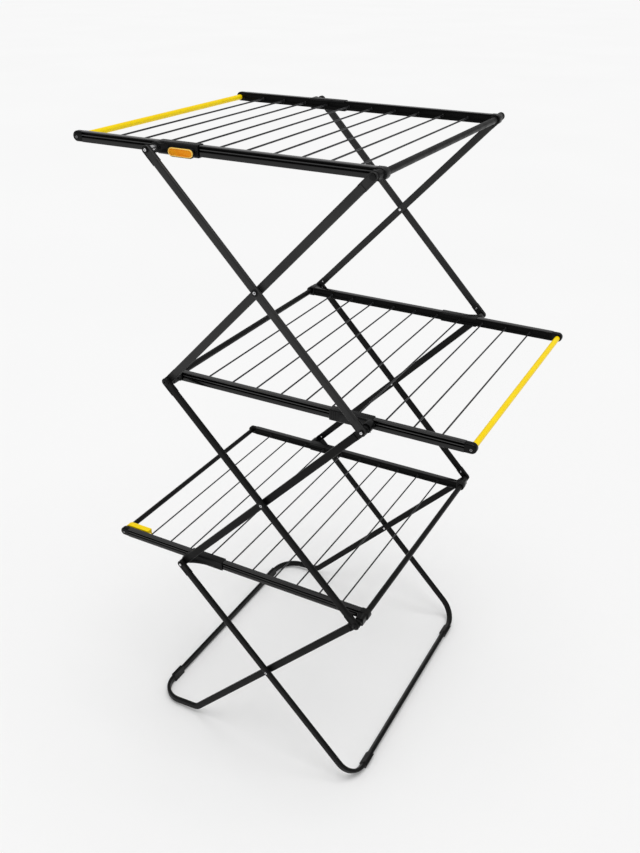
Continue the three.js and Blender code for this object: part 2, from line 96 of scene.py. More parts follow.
# Shoes: the ribs run round the sleeve and stay open towards the rack's middle.
SHOE_RIB_OUT = 9.9
SHOE_RIB_IN = -5.5
SHOE_RIB_HALF_H = 11.0
SHOE_RIB_HALF_LENGTH = 0.8
SHOE_RIB_WALL_OUT = 1.0
SHOE_RIB_WALL_UP = 0.8
SHOE_RIBS_FROM_TAIL = (4, 8.5, 13)
BUTTON_SHOE_RIBS_FROM_TAIL = (2.2,)

# Legs: flat oval tube, with a rounded fitting riveted into each end.
TUBE_WIDE = 16.6
TUBE_THIN = 9.0
TUBE_CORNER = 4.3
FITTING_LENGTH = 30.0
TUBE_FROM_PIVOT = 24.0
RIVET_FROM_PIVOT = 21.0
RIVET_R = 2.3
RIVET_HEAD = 0.55
OUTER_Y = middle_of("upper_outer_leg_far").y
INNER_Y = middle_of("upper_inner_leg_far").y

# Foot frames.
FLOOR_BAR_Z = 10.5
RIGHT_BEND_R = 54.0
LEFT_BEND_R = 60.0
KINK_REACH = 314.5
KINK_R = 26.0
LEFT_BAR_X = -335.0
BEND_STEPS = 18

# Pins: the head and the washer slip over the shank.
SHANK_R = 3.0
HEAD_BORE_R = 3.05
WASHER_BORE_R = 3.1
WASHER_R = 7.4
WASHER_THICK = 0.26

# Edges that turn by more than this stay sharp.
SHARP_DEGREES = 32

# A rounded corner takes up at most this share of the edges beside it.
CORNER_SHARE = 0.48

# Stage. The camera's angles, place and lens follow the photograph's view. Places are in metres.
ROOM_LIGHT = 0.49
KEY_LIGHT = 1.73
KEY_SPREAD_DEGREES = 48
KEY_DIRECTION = Vector((-0.15, 0.07, -1))
CAMERA_AT = Vector((0.8157, -1.6223, 1.7162))
CAMERA_YAW = 27.88
CAMERA_PITCH = 28.58
CAMERA_ROLL = 0.43
CAMERA_LENS = 50.1
FLOOR_HALF_SIZE = 60
FLOOR_Z = -0.0005


# ---- finishes --------------------------------------------------------------------------------


class Finish:
    """A procedural material, built node by node."""

    def __init__(self, name, **sockets):
        self.material = bpy.data.materials.new(name)
        self.material.use_nodes = True
        self.tree = self.material.node_tree
        self.shader = self.tree.nodes["Principled BSDF"]
        for socket, value in sockets.items():
            self.shader.inputs[socket.replace("_", " ")].default_value = value
        self.bumps = None

    def node(self, kind, **sockets):
        made = self.tree.nodes.new(kind)
        for socket, value in sockets.items():
            made.inputs[socket.replace("_", " ")].default_value = value
        return made

    def link(self, source, target):
        self.tree.links.new(source, target)

    def noise(self, scale, detail, stretch=(1, 1, 1)):
        """Noise of so many cells a metre. A stretch below 1 lengthens the cells along that axis."""
        place = self.node("ShaderNodeTexCoord")
        mapping = self.node("ShaderNodeMapping", Scale=stretch)
        texture = self.node("ShaderNodeTexNoise", Scale=scale, Detail=detail, Roughness=0.55)
        self.link(place.outputs["Object"], mapping.inputs["Vector"])
        self.link(mapping.outputs["Vector"], texture.inputs["Vector"])
        return texture.outputs["Fac"]

    def vary_colour(self, fac, dark, light, spread=(0.35, 0.65)):
        ramp = self.node("ShaderNodeValToRGB")
        ramp.color_ramp.elements[0].position = spread[0]
        ramp.color_ramp.elements[0].color = (*dark, 1)
        ramp.color_ramp.elements[1].position = spread[1]
        ramp.color_ramp.elements[1].color = (*light, 1)
        self.link(fac, ramp.inputs["Fac"])
        self.link(ramp.outputs["Color"], self.shader.inputs["Base Color"])

    def vary_roughness(self, fac, low, high):
        span = self.node(
            "ShaderNodeMapRange", To_Min=low, To_Max=high, From_Min=0.3, From_Max=0.7
        )
        self.link(fac, span.inputs["Value"])
        self.link(span.outputs["Result"], self.shader.inputs["Roughness"])

    def relief(self, fac, depth_mm, strength):
        """Adds bumps of this depth over any that are there already."""
        bump = self.node("ShaderNodeBump", Strength=strength, Distance=depth_mm * MM)
        self.link(fac, bump.inputs["Height"])
        if self.bumps:
            self.link(self.bumps, bump.inputs["Normal"])
        self.bumps = bump.outputs["Normal"]
        self.link(self.bumps, self.shader.inputs["Normal"])


def coated_rail(name, sheen):
    """Black coated extrusion: fine die lines run along it."""
    finish = Finish(name, Specular_IOR_Level=sheen)
    finish.vary_colour(finish.noise(14, 4), (0.0009, 0.0009, 0.0011), (0.0024, 0.0023, 0.0024))
    finish.vary_roughness(finish.noise(40, 4, (0.3, 4, 4)), 0.1, 0.2)
    finish.relief(finish.noise(160, 2, (0.02, 8, 8)), 0.02, 0.6)
    finish.relief(finish.noise(1500, 2), 0.01, 0.4)
    return finish.material


def painted_groove_shade():
    """The rail's coating, painted darker and duller in the grooves and on the inner face as painted
    shade in these recesses, and streaked along the rail.
    """
    finish = Finish("painted_groove_shade", Specular_IOR_Level=0.08)
    streaks = finish.noise(60, 4, (0.1, 2, 2))
    finish.vary_colour(streaks, (0.0003, 0.0003, 0.0004), (0.0022, 0.0021, 0.0021))
    finish.vary_roughness(finish.noise(200, 3, (0.1, 2, 2)), 0.3, 0.6)
    finish.relief(finish.noise(700, 2, (0.02, 1, 1)), 0.03, 0.6)
    return finish.material


def powder_coat(name, dark, light, sheen):
    """Powder coat: orange peel with a faint cloudiness."""
    finish = Finish(name, Specular_IOR_Level=sheen)
    finish.vary_colour(finish.noise(9, 5), dark, light)
    finish.vary_roughness(finish.noise(60, 3), 0.34, 0.5)
    finish.relief(finish.noise(420, 2), 0.05, 0.35)
    finish.relief(finish.noise(2200, 2), 0.015, 0.5)
    return finish.material


def coated_wire():
    """Dark grey epoxy over drawn wire."""
    finish = Finish("coated_wire", Specular_IOR_Level=0.3)
    streaks = finish.noise(30, 4, (1, 0.2, 1))
    finish.vary_colour(streaks, (0.008, 0.008, 0.009), (0.017, 0.017, 0.019))
    finish.vary_roughness(finish.noise(200, 2, (1, 0.1, 1)), 0.3, 0.46)
    finish.relief(finish.noise(900, 2), 0.02, 0.4)
    return finish.material


def black_moulding():
    """Glass-filled nylon: a fine spark-eroded grain with slightly worn high spots."""
    finish = Finish("black_moulding", Specular_IOR_Level=0.2)
    finish.vary_colour(finish.noise(35, 5), (0.0012, 0.0012, 0.0014), (0.0038, 0.0038, 0.004))
    finish.vary_roughness(finish.noise(300, 3), 0.27, 0.42)
    finish.relief(finish.noise(2600, 3), 0.03, 0.5)
    finish.relief(finish.noise(110, 2), 0.05, 0.2)
    return finish.material


def polished_moulding():
    """Smooth black cap moulding with faint sink marks."""
    finish = Finish("polished_moulding", Specular_IOR_Level=0.13)
    finish.vary_colour(finish.noise(50, 4), (0.0008, 0.0008, 0.0009), (0.0022, 0.0022, 0.0023))
    finish.vary_roughness(finish.noise(250, 3), 0.12, 0.22)
    finish.relief(finish.noise(90, 2), 0.04, 0.3)
    return finish.material


def soft_rubber():
    """Matt foot rubber with scuffed patches."""
    finish = Finish("soft_rubber", Specular_IOR_Level=0.3)
    finish.vary_colour(finish.noise(60, 5), (0.009, 0.009, 0.009), (0.022, 0.0215, 0.021))
    finish.vary_roughness(finish.noise(150, 3), 0.62, 0.85)
    finish.relief(finish.noise(1700, 3), 0.04, 0.6)
    return finish.material


def glossy_moulding(name, deep, bright):
    """Coloured moulding with flow marks and a light speckle of roughness."""
    finish = Finish(name, Specular_IOR_Level=0.15)
    finish.vary_colour(finish.noise(16, 4), deep, bright, (0.3, 0.6))
    finish.vary_roughness(finish.noise(220, 3), 0.3, 0.44)
    finish.relief(finish.noise(1800, 2), 0.012, 0.5)
    return finish.material


def plated_steel(name, dark, light):
    """Zinc-plated steel with fine tool marks and dull spots."""
    finish = Finish(name, Metallic=1.0)
    finish.vary_colour(finish.noise(500, 4), dark, light)
    finish.vary_roughness(finish.noise(700, 3), 0.18, 0.4)
    finish.relief(finish.noise(3000, 2), 0.02, 0.5)
    return finish.material


# Lit and shaded copies of one rail coat: the top, upper flange and rib take the high-sheen copy as
# painted highlight, the lower flange's outer face the half-sheen copy as painted shade, and the
# grooves and inner face the painted groove shade.
RAIL = coated_rail("coated_rail", 0.72)
RAIL_LOWER_SHADED = coated_rail("coated_rail_painted_shade", 0.36)
GROOVE_SHADE = painted_groove_shade()
RAIL_COATS = (RAIL, GROOVE_SHADE, RAIL_LOWER_SHADED)
# Lit and shaded copies of one powder coat: the upper legs and their end fittings take a lighter,
# glossier copy as painted light; the lower legs, foot frames and cross tubes take the darker one.
TUBE = powder_coat("powder_coat", (0.002, 0.002, 0.0021), (0.005, 0.0049, 0.0048), 0.13)
UPPER_TUBE_LIT = powder_coat(
    "upper_powder_coat", (0.01, 0.01, 0.0102), (0.0185, 0.0183, 0.018), 0.32
)
WIRE = coated_wire()
PLASTIC = black_moulding()
CAP = polished_moulding()
RUBBER = soft_rubber()
YELLOW = glossy_moulding("yellow_moulding", (0.95, 0.67, 0.0), (1.0, 0.74, 0.002))
ORANGE = glossy_moulding("orange_moulding", (1.0, 0.27, 0.001), (1.0, 0.44, 0.01))
AMBER = glossy_moulding("amber_moulding", (1.0, 0.56, 0.08), (1.0, 0.74, 0.2))
STEEL = plated_steel("bright_rivet", (0.55, 0.55, 0.56), (0.86, 0.86, 0.87))
DULL_STEEL = plated_steel("dull_rivet", (0.16, 0.16, 0.165), (0.3, 0.3, 0.305))


# ---- mesh making -----------------------------------------------------------------------------


def piece(name, bm, body, material, stands_for=(), crease=SHARP_DEGREES):
    """Turns a bmesh in millimetres into a named piece that rides on a body."""
    bmesh.ops.recalc_face_normals(bm, faces=bm.faces)
    bmesh.ops.scale(bm, vec=(MM, MM, MM), verts=bm.verts)
    mesh = bpy.data.meshes.new(name)
    bm.to_mesh(mesh)
    bm.free()
    mesh.materials.append(material)
    mesh.polygons.foreach_set("use_smooth", [True] * len(mesh.polygons))
    mesh.set_sharp_from_angle(angle=math.radians(crease))
    obj = bpy.data.objects.new(name, mesh)
    bpy.context.scene.collection.objects.link(obj)
    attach(obj, body)
    if stands_for:
        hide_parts(*stands_for)
    return obj


def rounded(corners, steps=3):
    """A closed outline with its corners rounded. A corner is its two coordinates and a radius."""
    outline = []
    for i, (x, y, radius) in enumerate(corners):
        here = Vector((x, y))
        back = Vector(corners[i - 1][:2]) - here
        on = Vector(corners[(i + 1) % len(corners)][:2]) - here
        reach = min(radius, back.length * CORNER_SHARE, on.length * CORNER_SHARE)
        start = here + back.normalized() * reach
        end = here + on.normalized() * reach
        for k in range(steps + 1):
            t = k / steps
            outline.append(start * (1 - t) ** 2 + here * 2 * t * (1 - t) + end * t**2)
    return outline


def rounded_box(left, bottom, right, top, radius, steps=3):
    corners = [(left, bottom), (right, bottom), (right, top), (left, top)]
    return rounded([(x, y, radius) for x, y in corners], steps)


def circle(radius, sides):
    return [
        Vector((radius * math.cos(a), radius * math.sin(a)))
        for a in (2 * math.pi * i / sides for i in range(sides))
    ]


def skin(bm, rings):
    """Joins rings of points, one after another, and closes both ends."""
    rings = [[bm.verts.new(point) for point in ring] for ring in rings]
    for ring, following in zip(rings, rings[1:]):
        for i, vert in enumerate(ring):
            j = (i + 1) % len(ring)
            bm.faces.new((vert, ring[j], following[j], following[i]))
    bm.faces.new(rings[0])
    bm.faces.new(rings[-1])


def sweep(bm, outline, stations):
    """Skins an outline over stations, each a point and the outline's two axes there."""
    skin(bm, [
        [point + first * p.x + second * p.y for p in outline]
        for point, first, second in stations
    ])


def straight(bm, outline, start, end, first, second):
    sweep(bm, outline, [(start, first, second), (end, first, second)])


def bar(bm, radius, start, end, sides):
    """A round bar between two points."""
    along = (end - start).normalized()
    first = along.orthogonal().normalized()
    straight(bm, circle(radius, sides), start, end, first, along.cross(first))


def turned(bm, profile, centre, axis, sides=28):
    """A turned piece. Its profile is a list of (radius, distance along the axis).

    The profile may start or end on the axis. Where it doesn't, that end is closed.
    """
    first = axis.orthogonal().normalized()
    second = axis.cross(first)
    rings = []
    for radius, along in profile:
        foot = centre + axis * along
        around = circle(radius, sides) if radius else [Vector((0, 0))]
        rings.append([bm.verts.new(foot + first * p.x + second * p.y) for p in around])
    for ring, following in zip(rings, rings[1:]):
        for i in range(sides):
            j = (i + 1) % sides
            corners = [ring[i % len(ring)], ring[j % len(ring)],
                       following[j % len(following)], following[i % len(following)]]
            bm.faces.new(list(dict.fromkeys(corners)))
    for ring in (rings[0], rings[-1]):
        if len(ring) > 1:
            bm.faces.new(ring)


def refined(node, body, material, edge=0.5, segments=2):
    """A moulded CAD solid with its sharp edges eased, which stands for the node."""
    bm = bmesh.new()
    bm.from_mesh(frame["nodes"][node].data)
    bmesh.ops.scale(bm, vec=(1 / MM,) * 3, verts=bm.verts)
    bmesh.ops.remove_doubles(bm, verts=bm.verts, dist=0.01)
    bmesh.ops.dissolve_limit(bm, angle_limit=math.radians(1), verts=bm.verts, edges=bm.edges)
    limit = math.radians(SHARP_DEGREES)
    sharp = [e for e in bm.edges if len(e.link_faces) == 2 and e.calc_face_angle() > limit]
    bmesh.ops.bevel(bm, geom=sharp, offset=edge, segments=segments, profile=0.5, affect="EDGES",
                    clamp_overlap=True, loop_slide=True)
    return piece(f"{node}_moulding", bm, body, material, [node], crease=40)


# ---- racks -----------------------------------------------------------------------------------


class Rack:
    """One rack. s runs from its hinged joint towards its free end."""

    def __init__(self, name, pivot, free_end):
        self.name = name
        self.body = f"{name}_rack"
        self.free_end = free_end
        self.hinge = joint_at[pivot]
        self.way = 1 if self.hinge.x < 0 else -1
        self.rail_from, self.rail_to = sorted(
            self.way * (edge.x - self.hinge.x) for edge in box_mm(f"{name}_rail_near")
        )

    def at(self, s, side, out=0.0, up=0.0):
        x = self.hinge.x + self.way * s
        return Vector((x, side * (RAIL_Y + out), self.hinge.z + RAIL_UP + up))


def rail_outline():
    """The outer face has two flanges, a thin rib and two grooves, the inner one a wire channel."""
    w, h = RAIL_HALF_W, RAIL_HALF_H
    lower_groove = w - LOWER_GROOVE_DEPTH
    upper_groove = w - UPPER_GROOVE_DEPTH
    channel = CHANNEL_DEPTH - w
    channel_top = WIRE_UP + CHANNEL_HALF_H
    channel_bottom = WIRE_UP - CHANNEL_HALF_H
    return rounded([
        (-w, -h, 1.2), (w, -h, 1.8),
        (w, LOWER_FLANGE_TOP, 0.9), (lower_groove, LOWER_FLANGE_TOP, 0.4),
        (lower_groove, RIB_BOTTOM, 0.4), (w, RIB_BOTTOM, 0.9),
        (w, RIB_TOP, 0.9), (upper_groove, RIB_TOP, 0.4),
        (upper_groove, UPPER_FLANGE_BOTTOM, 0.4), (w, UPPER_FLANGE_BOTTOM, 0.6),
        (w, h, 1.2), (-w, h, 1.2),
        (-w, channel_top, 0.5), (channel, channel_top, 0.3),
        (channel, channel_bottom, 0.3), (-w, channel_bottom, 0.5),
    ])


def rail_coat(out, up):
    """The coat of a face of a rail, from where the face's middle lies in the rail's section. The
    grooves and the inner face take the darker, duller groove coat, and the lower flange's outer
    face a half-sheen copy, both as painted shade; the rest takes the high-sheen copy as painted
    highlight.
    """
    rounding = 0.5
    between_flanges = LOWER_FLANGE_TOP - rounding < up < UPPER_FLANGE_BOTTOM + rounding
    # Painted shade: the grooves take the darker, duller groove coat, and so does the inner face
    # below.
    if 0 < out < RAIL_HALF_W - rounding and between_flanges:
        return GROOVE_SHADE
    on_inner_face = out < 2 * CHANNEL_DEPTH - RAIL_HALF_W
    if on_inner_face and abs(up) < RAIL_HALF_H - rounding:
        return GROOVE_SHADE
    # Painted shade: the lower flange's outer face takes the half-sheen copy of the rail coat.
    if out > 0 and up < LOWER_FLANGE_TOP:
        return RAIL_LOWER_SHADED
    return RAIL


def make_rails(rack):
    outline = rail_outline()
    for side_name, side in SIDES.items():
        bm = bmesh.new()
        ends = [rack.at(s, side) for s in (rack.rail_from, rack.rail_to)]
        straight(bm, outline, *ends, Y * side, Z)
        for face in bm.faces:
            middle = face.calc_center_median()
            coat = rail_coat(abs(middle.y) - RAIL_Y, middle.z - rack.hinge.z - RAIL_UP)
            face.material_index = RAIL_COATS.index(coat)
        name = f"{rack.name}_rail_{side_name}"
        extrusion = piece(f"{name}_extrusion", bm, rack.body, RAIL, [name])
        for coat in RAIL_COATS[1:]:
            extrusion.data.materials.append(coat)


def make_wires(rack):
    wires = bmesh.new()
    collars = bmesh.new()
    for i in range(WIRES):
        s = FIRST_WIRE_S + i * WIRE_PITCH
        ends = [rack.at(s, side, WIRE_INSET - RAIL_HALF_W, WIRE_UP) for side in SIDES.values()]
        bar(wires, WIRE_R, *ends, sides=14)
        for side in SIDES.values():
            foot = rack.at(s, side, COLLAR_INSET - RAIL_HALF_W, WIRE_UP)
            profile = [(3.3, 0), (3.3, 1.2), (2.9, 1.7), (2.2, 2.9), (WIRE_R, 3.2), (WIRE_R, 0)]
            turned(collars, profile, foot, Y * -side, sides=18)
    piece(f"{rack.name}_drying_wires", wires, rack.body, WIRE, [f"{rack.name}_wires"])
    piece(f"{rack.name}_wire_collars", collars, rack.body, PLASTIC)


def make_cross_tube(rack, node, material, slot):
    """A cross tube, slightly drawn in where it enters its sockets."""
    low, high = box_mm(node)
    centre = (low + high) / 2
    radius = (high.z - low.z) / 2
    reach = high.y
    mouth = RAIL_Y - RAIL_HALF_W
    far_half = [(radius, mouth - 12), (radius - 0.1, mouth - 4), (radius - 0.5, reach)]
    near_half = [(r, -along) for r, along in reversed(far_half)]
    bm = bmesh.new()
    turned(bm, near_half + far_half, Vector((centre.x, 0, centre.z)), Y, sides=40)
    piece(f"{node}_skin", bm, rack.body, material, [node])


def bullet(bm, centre, way, side, length, layers):
    """A rail-high plug with a round nose, built up in layers of (inset, distance out)."""
    rings = []
    steps = 16
    arc = [math.pi * k / steps - math.pi / 2 for k in range(steps + 1)]
    for inset, level in layers:
        radius = RAIL_HALF_H - inset
        outline = [(length + radius * math.cos(a), radius * math.sin(a)) for a in arc]
        outline += [(0, radius), (0, -radius)]
        rings.append([centre + X * way * x + Z * z + Y * side * level for x, z in outline])
    skin(bm, rings)


def make_end_cap(rack, side_name):
    """A bullet-nosed cap, with a ringed fixing on its outer face where the cross tube ends."""
    side = SIDES[side_name]
    node = f"{rack.name}_end_cap_{side_name}"
    tip = max(rack.way * (edge.x - rack.hinge.x) for edge in box_mm(node))
    start = rack.rail_to + CAP_GAP
    w = RAIL_HALF_W
    bm = bmesh.new()
    layers = [(2.6, -w), (1.1, 0.5 - w), (0.3, 1.4 - w), (0.0, 2.6 - w),
              (0.0, w - 3.0), (0.35, w - 1.7), (1.3, w - 0.6), (2.9, w)]
    bullet(bm, rack.at(start, side), rack.way, side, tip - start - RAIL_HALF_H, layers)
    piece(f"{node}_moulding", bm, rack.body, CAP, [node], crease=50)
    tube = middle_of(f"{rack.name}_{rack.free_end}")
    centre = Vector((tube.x, side * (RAIL_Y + w), tube.z))
    bm = bmesh.new()
    profile = [(3.6, -0.8), (3.6, 0.0), (3.9, 0.25), (4.7, 0.25), (5.0, 0.0), (5.0, -0.8)]
    turned(bm, profile, centre, Y * side)
    piece(f"{node}_ring", bm, rack.body, CAP)
    bm = bmesh.new()
    profile = [(0, -0.9), (1.1, -0.9), (1.3, 0.0), (1.8, 0.2), (2.5, 0.15), (2.7, -0.8)]
    turned(bm, profile, centre, Y * side)
    piece(f"{node}_eyelet", bm, rack.body, DULL_STEEL)


def make_bracket(rack, side_name):
    """The eased bracket. Where two legs hang on it, a boxed arm stiffens the boss."""
    side = SIDES[side_name]
    node = f"{rack.name}_hinge_bracket_{side_name}"
    refined(node, rack.body, PLASTIC)
    if rack.name == "top":
        return
    bm = bmesh.new()
    outline = rounded_box(left=-8.5, bottom=-9.5, right=9, top=8.5, radius=3.5, steps=4)
    start = rack.at(0, side, RAIL_HALF_W + 0.5)
    end = rack.at(0, side, INNER_Y - RAIL_Y - TUBE_THIN / 2 - 1)
    straight(bm, outline, start, end, X * rack.way, Z)
    piece(f"{node}_arm", bm, rack.body, PLASTIC)


def make_rack(rack):
    make_rails(rack)
    make_wires(rack)
    make_cross_tube(rack, f"{rack.name}_hinge_tube", TUBE, "tube")
    look = (YELLOW, "yellow_plastic") if rack.free_end == "yellow_bar" else (TUBE, "tube")
    make_cross_tube(rack, f"{rack.name}_{rack.free_end}", *look)
    for side_name in SIDES:
        make_end_cap(rack, side_name)
        make_bracket(rack, side_name)


# ---- sliding shoes ---------------------------------------------------------------------------


def shoe_rib_outline():
    out, inner, h = SHOE_RIB_OUT, SHOE_RIB_IN, SHOE_RIB_HALF_H
    web = out - SHOE_RIB_WALL_OUT
    wall = h - SHOE_RIB_WALL_UP
    return rounded([
        (out, -h, 2.2), (out, h, 2.2), (inner, h, 1), (inner, wall, 0.3),
        (web, wall, 1), (web, -wall, 1), (inner, -wall, 0.3), (inner, -h, 1),
    ])


def make_shoe(rack, side_name):
    """The eased shoe, ribs round its sleeve and a rivet head where it carries the outer leg.

    A top shoe also shows a bright sleeve on the arm that reaches out to its leg.
    """
    side = SIDES[side_name]
    node = f"{rack.name}_slider_{side_name}"
    body = f"{rack.name}_sliders"
    refined(node, body, PLASTIC)
    low, high = box_mm(node)
    tail = low.x if rack.way > 0 else high.x
    has_button = rack.name == "top" and side_name == "near"
    ribs = bmesh.new()
    outline = shoe_rib_outline()
    half = X * SHOE_RIB_HALF_LENGTH
    for distance in BUTTON_SHOE_RIBS_FROM_TAIL if has_button else SHOE_RIBS_FROM_TAIL:
        at = Vector((tail + rack.way * distance, side * RAIL_Y, rack.hinge.z + RAIL_UP))
        straight(ribs, outline, at - half, at + half, Y * side, Z)
    piece(f"{node}_ribs", ribs, body, PLASTIC)
    pivot = Vector((rack.hinge.x + rack.way * SPAN, 0, rack.hinge.z))
    leg_face = pivot + Y * side * (OUTER_Y + TUBE_THIN / 2)
    rivet = bmesh.new()
    profile = [(3.0, 0.2), (3.0, 1.3), (2.7, 1.65), (1.8, 1.76), (1.1, 1.6), (0.8, 1.2), (0, 1.2)]
    turned(rivet, profile, leg_face, Y * side, sides=24)
    piece(f"{node}_rivet", rivet, body, STEEL)
    if rack.name == "top":
        sleeve = bmesh.new()
        profile = [(4.3, 19), (4.7, 19.4), (4.7, 33), (5.6, 33.4), (5.6, 38), (4.3, 38)]
        turned(sleeve, profile, pivot + Y * side * RAIL_Y, Y * side)
        piece(f"{node}_arm_sleeve", sleeve, body, STEEL)


# ---- legs ------------------------------------------------------------------------------------


def tube_outline():
    """First axis across the thin way, second across the wide way."""
    a, b = TUBE_THIN / 2, TUBE_WIDE / 2
    return rounded_box(-a, -b, a, b, TUBE_CORNER, steps=5)


def make_fitting(bm, pivot, along, wide):
    """A leg end: round about the pivot, then a sleeve flush with the tube."""
    thin = TUBE_THIN / 2
    rim = [(0.0, thin - 1.2), (0.35, thin - 0.45), (1.1, thin)]
    far_half = [(TUBE_WIDE / 2 - inset, level) for inset, level in rim]
    layers = [(radius, -level) for radius, level in far_half] + far_half[::-1]
    rings = []
    steps = 14
    arc = [math.pi / 2 + math.pi * k / steps for k in range(steps + 1)]
    for radius, level in layers:
        ring = [
            pivot + along * radius * math.cos(a) + wide * radius * math.sin(a) + Y * level
            for a in arc
        ]
        for across in (-1, 1):
            ring.append(pivot + along * FITTING_LENGTH + wide * radius * across + Y * level)
        rings.append(ring)
    skin(bm, rings)


def make_rivet(bm, centre, axis):
    """A low rivet head, dimpled in the middle. Its profile is in shares of radius and height."""
    shares = [(1, 0), (0.88, 0.7), (0.55, 1), (0.3, 0.9), (0.2, 0.3), (0, 0.25)]
    profile = [(RIVET_R, -0.6)] + [(RIVET_R * r, RIVET_HEAD * h) for r, h in shares]
    turned(bm, profile, centre, axis, sides=20)


def make_leg_end(fitting, rivets, pivot, along, wide):
    """The fitting at one end, and the rivet that holds it in the tube, headed on the inner face."""
    make_fitting(fitting, pivot, along, wide)
    inward = -1 if pivot.y > 0 else 1
    make_rivet(rivets, pivot + along * RIVET_FROM_PIVOT + Y * inward * TUBE_THIN / 2, Y * inward)


def make_leg(name, body, top, bottom, plane_y, coat):
    along = (bottom - top).normalized()
    wide = along.cross(Y)
    for side_name, side in SIDES.items():
        node = f"{name}_{side_name}"
        shift = Y * side * plane_y
        bm = bmesh.new()
        inset = along * TUBE_FROM_PIVOT
        straight(bm, tube_outline(), top + inset + shift, bottom - inset + shift, Y, wide)
        piece(f"{node}_tube", bm, body, coat, [node])
        fittings, rivets = bmesh.new(), bmesh.new()
        make_leg_end(fittings, rivets, top + shift, along, wide)
        make_leg_end(fittings, rivets, bottom + shift, -along, wide)
        piece(f"{node}_end_fittings", fittings, body, coat)
        piece(f"{node}_end_rivets", rivets, body, STEEL)


# ---- foot frames -----------------------------------------------------------------------------


def rounded_route(corners):
    """Points along straight runs joined by arcs. Each corner is (point, radius)."""
    points = []
    for i, (at, radius) in enumerate(corners):
        if not radius:
            points.append(at)
            continue
        back = (corners[i - 1][0] - at).normalized()
        on = (corners[i + 1][0] - at).normalized()
        turn = math.pi - back.angle(on)
        centre = at + (back + on).normalized() * radius / math.cos(turn / 2)
        start = at + back * radius * math.tan(turn / 2) - centre
        axis = -back.cross(on).normalized()
        for k in range(BEND_STEPS + 1):
            points.append(centre + Matrix.Rotation(turn * k / BEND_STEPS, 3, axis) @ start)
    return points


def make_foot_frame(node, body, half, wide):
    """One bent tube. half: the near half's corners, from the upper joint to the floor bar's end.

    wide: the tube's wide way at the start of the route, which the bends then turn.
    """
    far = [(Vector((p.x, -p.y, p.z)), radius) for p, radius in half]
    joints = [half[0][0], far[0][0]]
    down = (half[1][0] - joints[0]).normalized()
    near_end, far_end = ((joint + down * TUBE_FROM_PIVOT, 0) for joint in joints)
    route = rounded_route([near_end, *half[1:], *reversed(far[1:]), far_end])
    stations = []
    tangent_before = None
    for i, point in enumerate(route):
        arriving = (point - route[max(i - 1, 0)]).normalized()
        leaving = (route[min(i + 1, len(route) - 1)] - point).normalized()
        tangent = (arriving + leaving).normalized()
        if tangent_before:
            wide = tangent_before.rotation_difference(tangent) @ wide
        stations.append((point, tangent.cross(wide).normalized(), wide.copy()))
        tangent_before = tangent
    bm = bmesh.new()
    sweep(bm, tube_outline(), stations)
    piece(f"{node}_tube", bm, body, TUBE, [node])
    fittings, rivets = bmesh.new(), bmesh.new()
    for joint in joints:
        make_leg_end(fittings, rivets, joint, down, down.cross(Y))
    piece(f"{node}_end_fittings", fittings, body, TUBE)
    piece(f"{node}_end_rivets", rivets, body, STEEL)


# ---- pins, button and clip -------------------------------------------------------------------


def make_pin(node, body, core):
    """A pin with a rolled end, a broad dark head round it and a thin washer under the head."""
    low, high = box_mm(node)
    centre = (low + high) / 2
    side = 1 if centre.y > 0 else -1
    radius = (high.z - low.z) / 2
    tail, head = sorted((abs(low.y), abs(high.y)))
    at = Vector((centre.x, 0, centre.z))
    bm = bmesh.new()
    profile = [(1.5, tail), (SHANK_R, tail + 0.4), (SHANK_R, head - 0.35), (2.5, head - 0.05),
               (2.0, head - 0.05), (1.4, head - 0.5), (1.2, head - 1.6), (0, head - 1.7)]
    turned(bm, profile, at, Y * side, sides=32)
    piece(f"{node}_shank", bm, body, core, [node])
    bm = bmesh.new()
    seat = head - 1.5
    profile = [(HEAD_BORE_R, seat), (radius, seat), (radius, head - 0.9),
               (radius - 0.5, head - 0.4), (HEAD_BORE_R, head - 0.3), (HEAD_BORE_R, seat)]
    turned(bm, profile, at, Y * side, sides=32)
    top = head - 1.52
    bottom = top - WASHER_THICK
    rim = WASHER_R - 0.2
    profile = [(WASHER_BORE_R, bottom), (rim, bottom), (WASHER_R, top - WASHER_THICK / 2),
               (rim, top), (WASHER_BORE_R, top), (WASHER_BORE_R, bottom)]
    turned(bm, profile, at, Y * side, sides=32)
    piece(f"{node}_head", bm, body, PLASTIC)


def stadium(length, height, steps=12):
    """An outline with half-round ends."""
    half = (length - height) / 2
    radius = height / 2
    arcs = []
    for sign in (1, -1):
        for k in range(steps + 1):
            a = -math.pi / 2 + math.pi * k / steps
            arcs.append(Vector((sign * (half + radius * math.cos(a)), sign * radius * math.sin(a))))
    return arcs


def dished(bm, length, height, centre, levels):
    """A stadium-shaped plate built up in levels, each (inset, distance outward)."""
    rings = []
    for inset, level in levels:
        outline = stadium(length - 2 * inset, height - 2 * inset)
        rings.append([centre + X * p.x + Z * p.y - Y * level for p in outline])
    skin(bm, rings)


